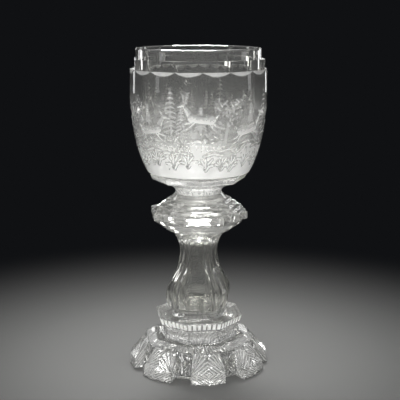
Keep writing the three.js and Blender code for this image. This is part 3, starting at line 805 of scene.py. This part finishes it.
def leafyTree(u, base, height, lean):  # a trunk, seven branches to both sides and leaves along them
    lines = [((u, base), (u + lean, base + height * 0.6), 1.7, 1.0)]
    leaves = []
    for k in range(7):
        start = (u + lean * (0.6 + 0.07 * k), base + height * (0.34 + 0.05 * k))
        way = math.radians(30 + 120 * (k % 2) + dice.uniform(-16, 16))
        out = height * dice.uniform(0.24, 0.36)
        end = (start[0] + out * math.cos(way), start[1] + out * math.sin(way) * 0.8)
        lines.append((start, end, 0.9, 0.4))
        for j in range(9):
            t, turn, length = dice.uniform(0.25, 1.1), dice.uniform(0, 2 * math.pi), dice.uniform(3.4, 5.2)
            x = start[0] + (end[0] - start[0]) * t + dice.uniform(-2.5, 2.5)
            y = start[1] + (end[1] - start[1]) * t + dice.uniform(-2.5, 2.5)
            tip = (x + length * math.cos(turn), y + length * math.sin(turn))
            leaves.append([((x, y), tip, length * 0.2, 0.35)])
    engrave(lines, tones["tree"], depths["tree"])
    for leaf in leaves:
        engrave(leaf, dice.uniform(0.65, 1.1), depths["leaf"])


def bush(u, base, size, leaves):  # small leaves crowded into a dome
    for k in range(leaves):
        way, out = dice.uniform(0.1, math.pi - 0.1), size * math.sqrt(dice.uniform(0.05, 1))
        x, y = u + out * math.cos(way), base + out * math.sin(way) * 0.7
        turn, length = way + dice.uniform(-0.9, 0.9), dice.uniform(2.2, 3.6)
        tip = (x + length * math.cos(turn), y + length * math.sin(turn))
        engrave([((x, y), tip, length * 0.26, 0.3)], dice.uniform(0.75, 1.3), depths["leaf"], 0.3)


def grass(u, base, height, blades):  # blades that fan out and bend at their tips
    for k in range(blades):
        lean = (2 * k / (blades - 1) - 1) * 0.95 + dice.uniform(-0.08, 0.08)
        reach = height * (1 - 0.2 * abs(lean)) * dice.uniform(0.85, 1.1)
        bend = (math.sin(lean * 0.7) * reach * 0.55, math.cos(lean * 0.7) * reach * 0.55)
        points = [(0.6 * lean, 0), bend, (math.sin(lean) * reach, math.cos(lean * 1.1) * reach)]
        engrave(path(points, [0.4, 0.85, 0.3], (u, base)), tones["grass"], depths["grass"], 0.55)


def scattered(k, by):  # the k-th of three places to a station, moved a little
    return k * step / 3 + dice.uniform(-by, by)


step = turnLength / stations
for k in range(3 * stations):  # a wood far off, between the herd's heads
    fir(scattered(k, 4), dice.uniform(58, 66), dice.uniform(16, 26))
for k in range(stations):
    u = k * step - 4 + step * 0.5
    if k % 2:
        fir(u, 52, 44)
        fir(u + 9, 50, 32)
    else:
        leafyTree(u, 48, 48, 4 - 2 * (k % 4))
for k in range(3 * stations):  # rolling earth under the herd
    u, v = scattered(k, 5), dice.uniform(36, 54)
    crest, end = (u + 9, v + 2.5), (u + 19, v + 0.5)
    engrave([((u, v), crest, 0.4, 1.0), (crest, end, 1.0, 0.4)], tones["earth"], depths["earth"])
for k in range(3 * stations):
    bush(scattered(k, 6), dice.uniform(40, 54), dice.uniform(4, 7), 14)
for k in range(3 * stations):
    u, base = scattered(k, 4), dice.uniform(24, 32)
    grass(u, base, dice.uniform(10, 15), 5 + 2 * int(dice.integers(0, 2)))
for k in range(stations):
    facing = 1 if k % 3 else -1
    deer(k * step - 2, (70, 60, 67)[k % 3], facing, frieze["deer"] + k % 3, k % 2 == 0)
for k in range(lastBelly - firstBelly):
    rings[firstBelly + k][:, 1] -= carved[k]
print("frieze engraved")

bowl = loft("engravedBowl", rings, bowlLevel, sizes["turn"])
values = np.zeros(len(bowl.data.vertices))
first = sum(len(r) for r in rings[:firstBelly])
last = first + matt.size
# the underside, collar and neck are made matt beyond a light haze, as a painted glow of the light that runs
# down through the neck
values[:first] = sizes["collarHazeAndPaintedGlow"]
values[: sizes["neckRings"] * sizes["around"]] = sizes["neckHazeAndPaintedGlow"]
values[first:last] = (np.clip(matt, 0, 1) ** frieze["contrast"]).ravel()
# painted highlight: the scallops are made matt so that their crescents show white, as the light they catch
# would
values[last : last + sizes["scallopRings"] * sizes["around"]] = sizes["scallopPaintedHighlight"]
whiten(bowl, values)
finishPiece(bowl, "bowl", [engravedGlass, meltedJoint], sizes)
made = bmesh.new()  # the scallops' low edges are crisp too
made.from_mesh(bowl.data)
lowest = (bowlLevel + shoulder - sizes["deepest"]) * mm
for edge in made.edges:
    if min(v.co.z for v in edge.verts) > lowest and edge.calc_face_angle(0) > math.radians(sizes["crisp"]):
        edge.smooth = False
made.to_mesh(bowl.data)
made.free()

# A painted table in a painted pool of light: with distance from the middle its paint fades into the dark of
# the studio, given out as painted shade
floorLook = {"colour": "#6c6c6a", "gloss": 0.6, "radius": 1.6, "corners": 96, "below": 0.2, "pale": -0.1,
             "dark": 0.45, "studio": "#101113"}
material, tree = newMaterial("tableInPaintedPoolOfLight")
at = put(tree, "ShaderNodeTexCoord").outputs["Object"]
out = put(tree, "ShaderNodeVectorMath", {0: at}, operation="LENGTH").outputs["Value"]
fade = put(tree, "ShaderNodeMapRange", {
    "Value": out, "From Min": floorLook["pale"], "From Max": floorLook["dark"]},
    interpolation_type="SMOOTHERSTEP")
paint = put(tree, "ShaderNodeBsdfPrincipled", {
    "Base Color": linear(floorLook["colour"]), "Roughness": floorLook["gloss"]})
# painted shade: the dark colour is emitted, so the table's outer part stays dark under any lamp
dark = put(tree, "ShaderNodeEmission", {"Color": linear(floorLook["studio"])})
both = put(tree, "ShaderNodeMixShader", {
    0: fade.outputs["Result"], 1: paint.outputs["BSDF"], 2: dark.outputs["Emission"]})
put(tree, "ShaderNodeOutputMaterial", {"Surface": both.outputs["Shader"]})
reach, below = floorLook["radius"], -floorLook["below"] * mm
edge = [(reach * math.sin(a), reach * math.cos(a), below) for a in evenly(floorLook["corners"])]
floor = addPiece("paleFloor", edge, [tuple(reversed(range(floorLook["corners"])))])
floor.data.materials.append(material)

# The studio is dark round the sides and softly lit from its ceiling
studio = {"ceiling": "#a2a3a4", "strength": 1.0, "from": 0.1, "to": 0.75}
world = bpy.data.worlds.new("softStudio")
bpy.context.scene.world = world
world.use_nodes = True
tree = world.node_tree
tree.nodes.clear()
around = put(tree, "ShaderNodeTexCoord").outputs["Generated"]
upward = put(tree, "ShaderNodeSeparateXYZ", {"Vector": around}).outputs["Z"]
climb = put(tree, "ShaderNodeMapRange", {
    "Value": upward, "From Min": studio["from"], "From Max": studio["to"]}, interpolation_type="SMOOTHSTEP")
shade = put(tree, "ShaderNodeMix", {  # its colour sockets are 6 and 7, its colour output is 2
    "Factor": climb.outputs["Result"], 6: linear(floorLook["studio"]), 7: linear(studio["ceiling"])},
    data_type="RGBA")
light = put(tree, "ShaderNodeBackground", {"Color": shade.outputs[2], "Strength": studio["strength"]})
put(tree, "ShaderNodeOutputWorld", {"Surface": light.outputs["Background"]})


def lamp(name, place, size, power, aim=0.14):  # metres and watts; it points at the axis, at the height of aim
    data = bpy.data.lights.new(name, "AREA")
    data.shape = "RECTANGLE"
    data.size, data.size_y = size
    data.energy = power
    thing = addObject(name, data)
    thing.location = place
    thing.rotation_euler = (Vector((0, 0, aim)) - Vector(place)).to_track_quat("-Z", "Y").to_euler()
    thing.visible_camera = False
    return thing


lamp("stripLeft", (-1.1, -0.25, 0.5), (0.14, 0.7), 0.6)
lamp("stripRight", (1.1, -0.15, 0.5), (0.14, 0.7), 0.6)
lamp("stripBackLeft", (-0.62, 0.75, 0.44), (0.14, 0.6), 0.8)
lamp("stripBackRight", (0.62, 0.75, 0.44), (0.14, 0.6), 0.8)
lamp("backLow", (0.18, 1.3, 0.375), (1.4, 0.07), 0.35, 0.27)
lamp("overhead", (0, -0.05, 1.1), (0.4, 0.4), 8)
lamp("highBack", (0, 0.6, 1.0), (0.4, 0.3), 12, 0.16)
fill = lamp("frontFill", (-0.4, -1.5, 0.12), (0.8, 0.5), 15, 0.19)
card = lamp("tableCard", (-0.1, -0.68, 0.03), (0.25, 0.1), 4.4, 0.2)
behind = lamp("behindKnop", (0.18, 1.3, 0.16), (0.5, 0.1), 2.5, 0.16)
glow = lamp("knopCard", (-0.03, -0.13, 0.165), (0.02, 0.02), 0.13, 0.145)
for soft in (fill, card, glow):  # these light the matt surfaces only
    soft.visible_glossy = soft.visible_transmission = False
onKnop = bpy.data.collections.new("onKnop")
onKnop.objects.link(knop)
for lit in (behind, glow):  # these light the knop alone
    lit.light_linking.receiver_collection = onKnop

# The camera stands where the photograph was taken from; its lens and frame are in pixels
view = {"focal": 926.2, "frame": 400, "sensor": 36, "away": 0.7969, "height": 0.3137, "down": 11.78,
        "round": 8, "aside": 0.09}
lens = bpy.data.cameras.new("camera")
lens.sensor_width = view["sensor"]
lens.lens = view["focal"] / view["frame"] * view["sensor"]
camera = addObject("camera", lens)
turn = math.radians(view["round"])
camera.location = (-view["away"] * math.sin(turn), -view["away"] * math.cos(turn), view["height"])
camera.rotation_euler = (math.radians(90 - view["down"]), 0, -turn - math.radians(view["aside"]))
bpy.context.scene.camera = camera
bpy.context.scene.view_settings.view_transform = "Standard"
print("studio lit and camera set")
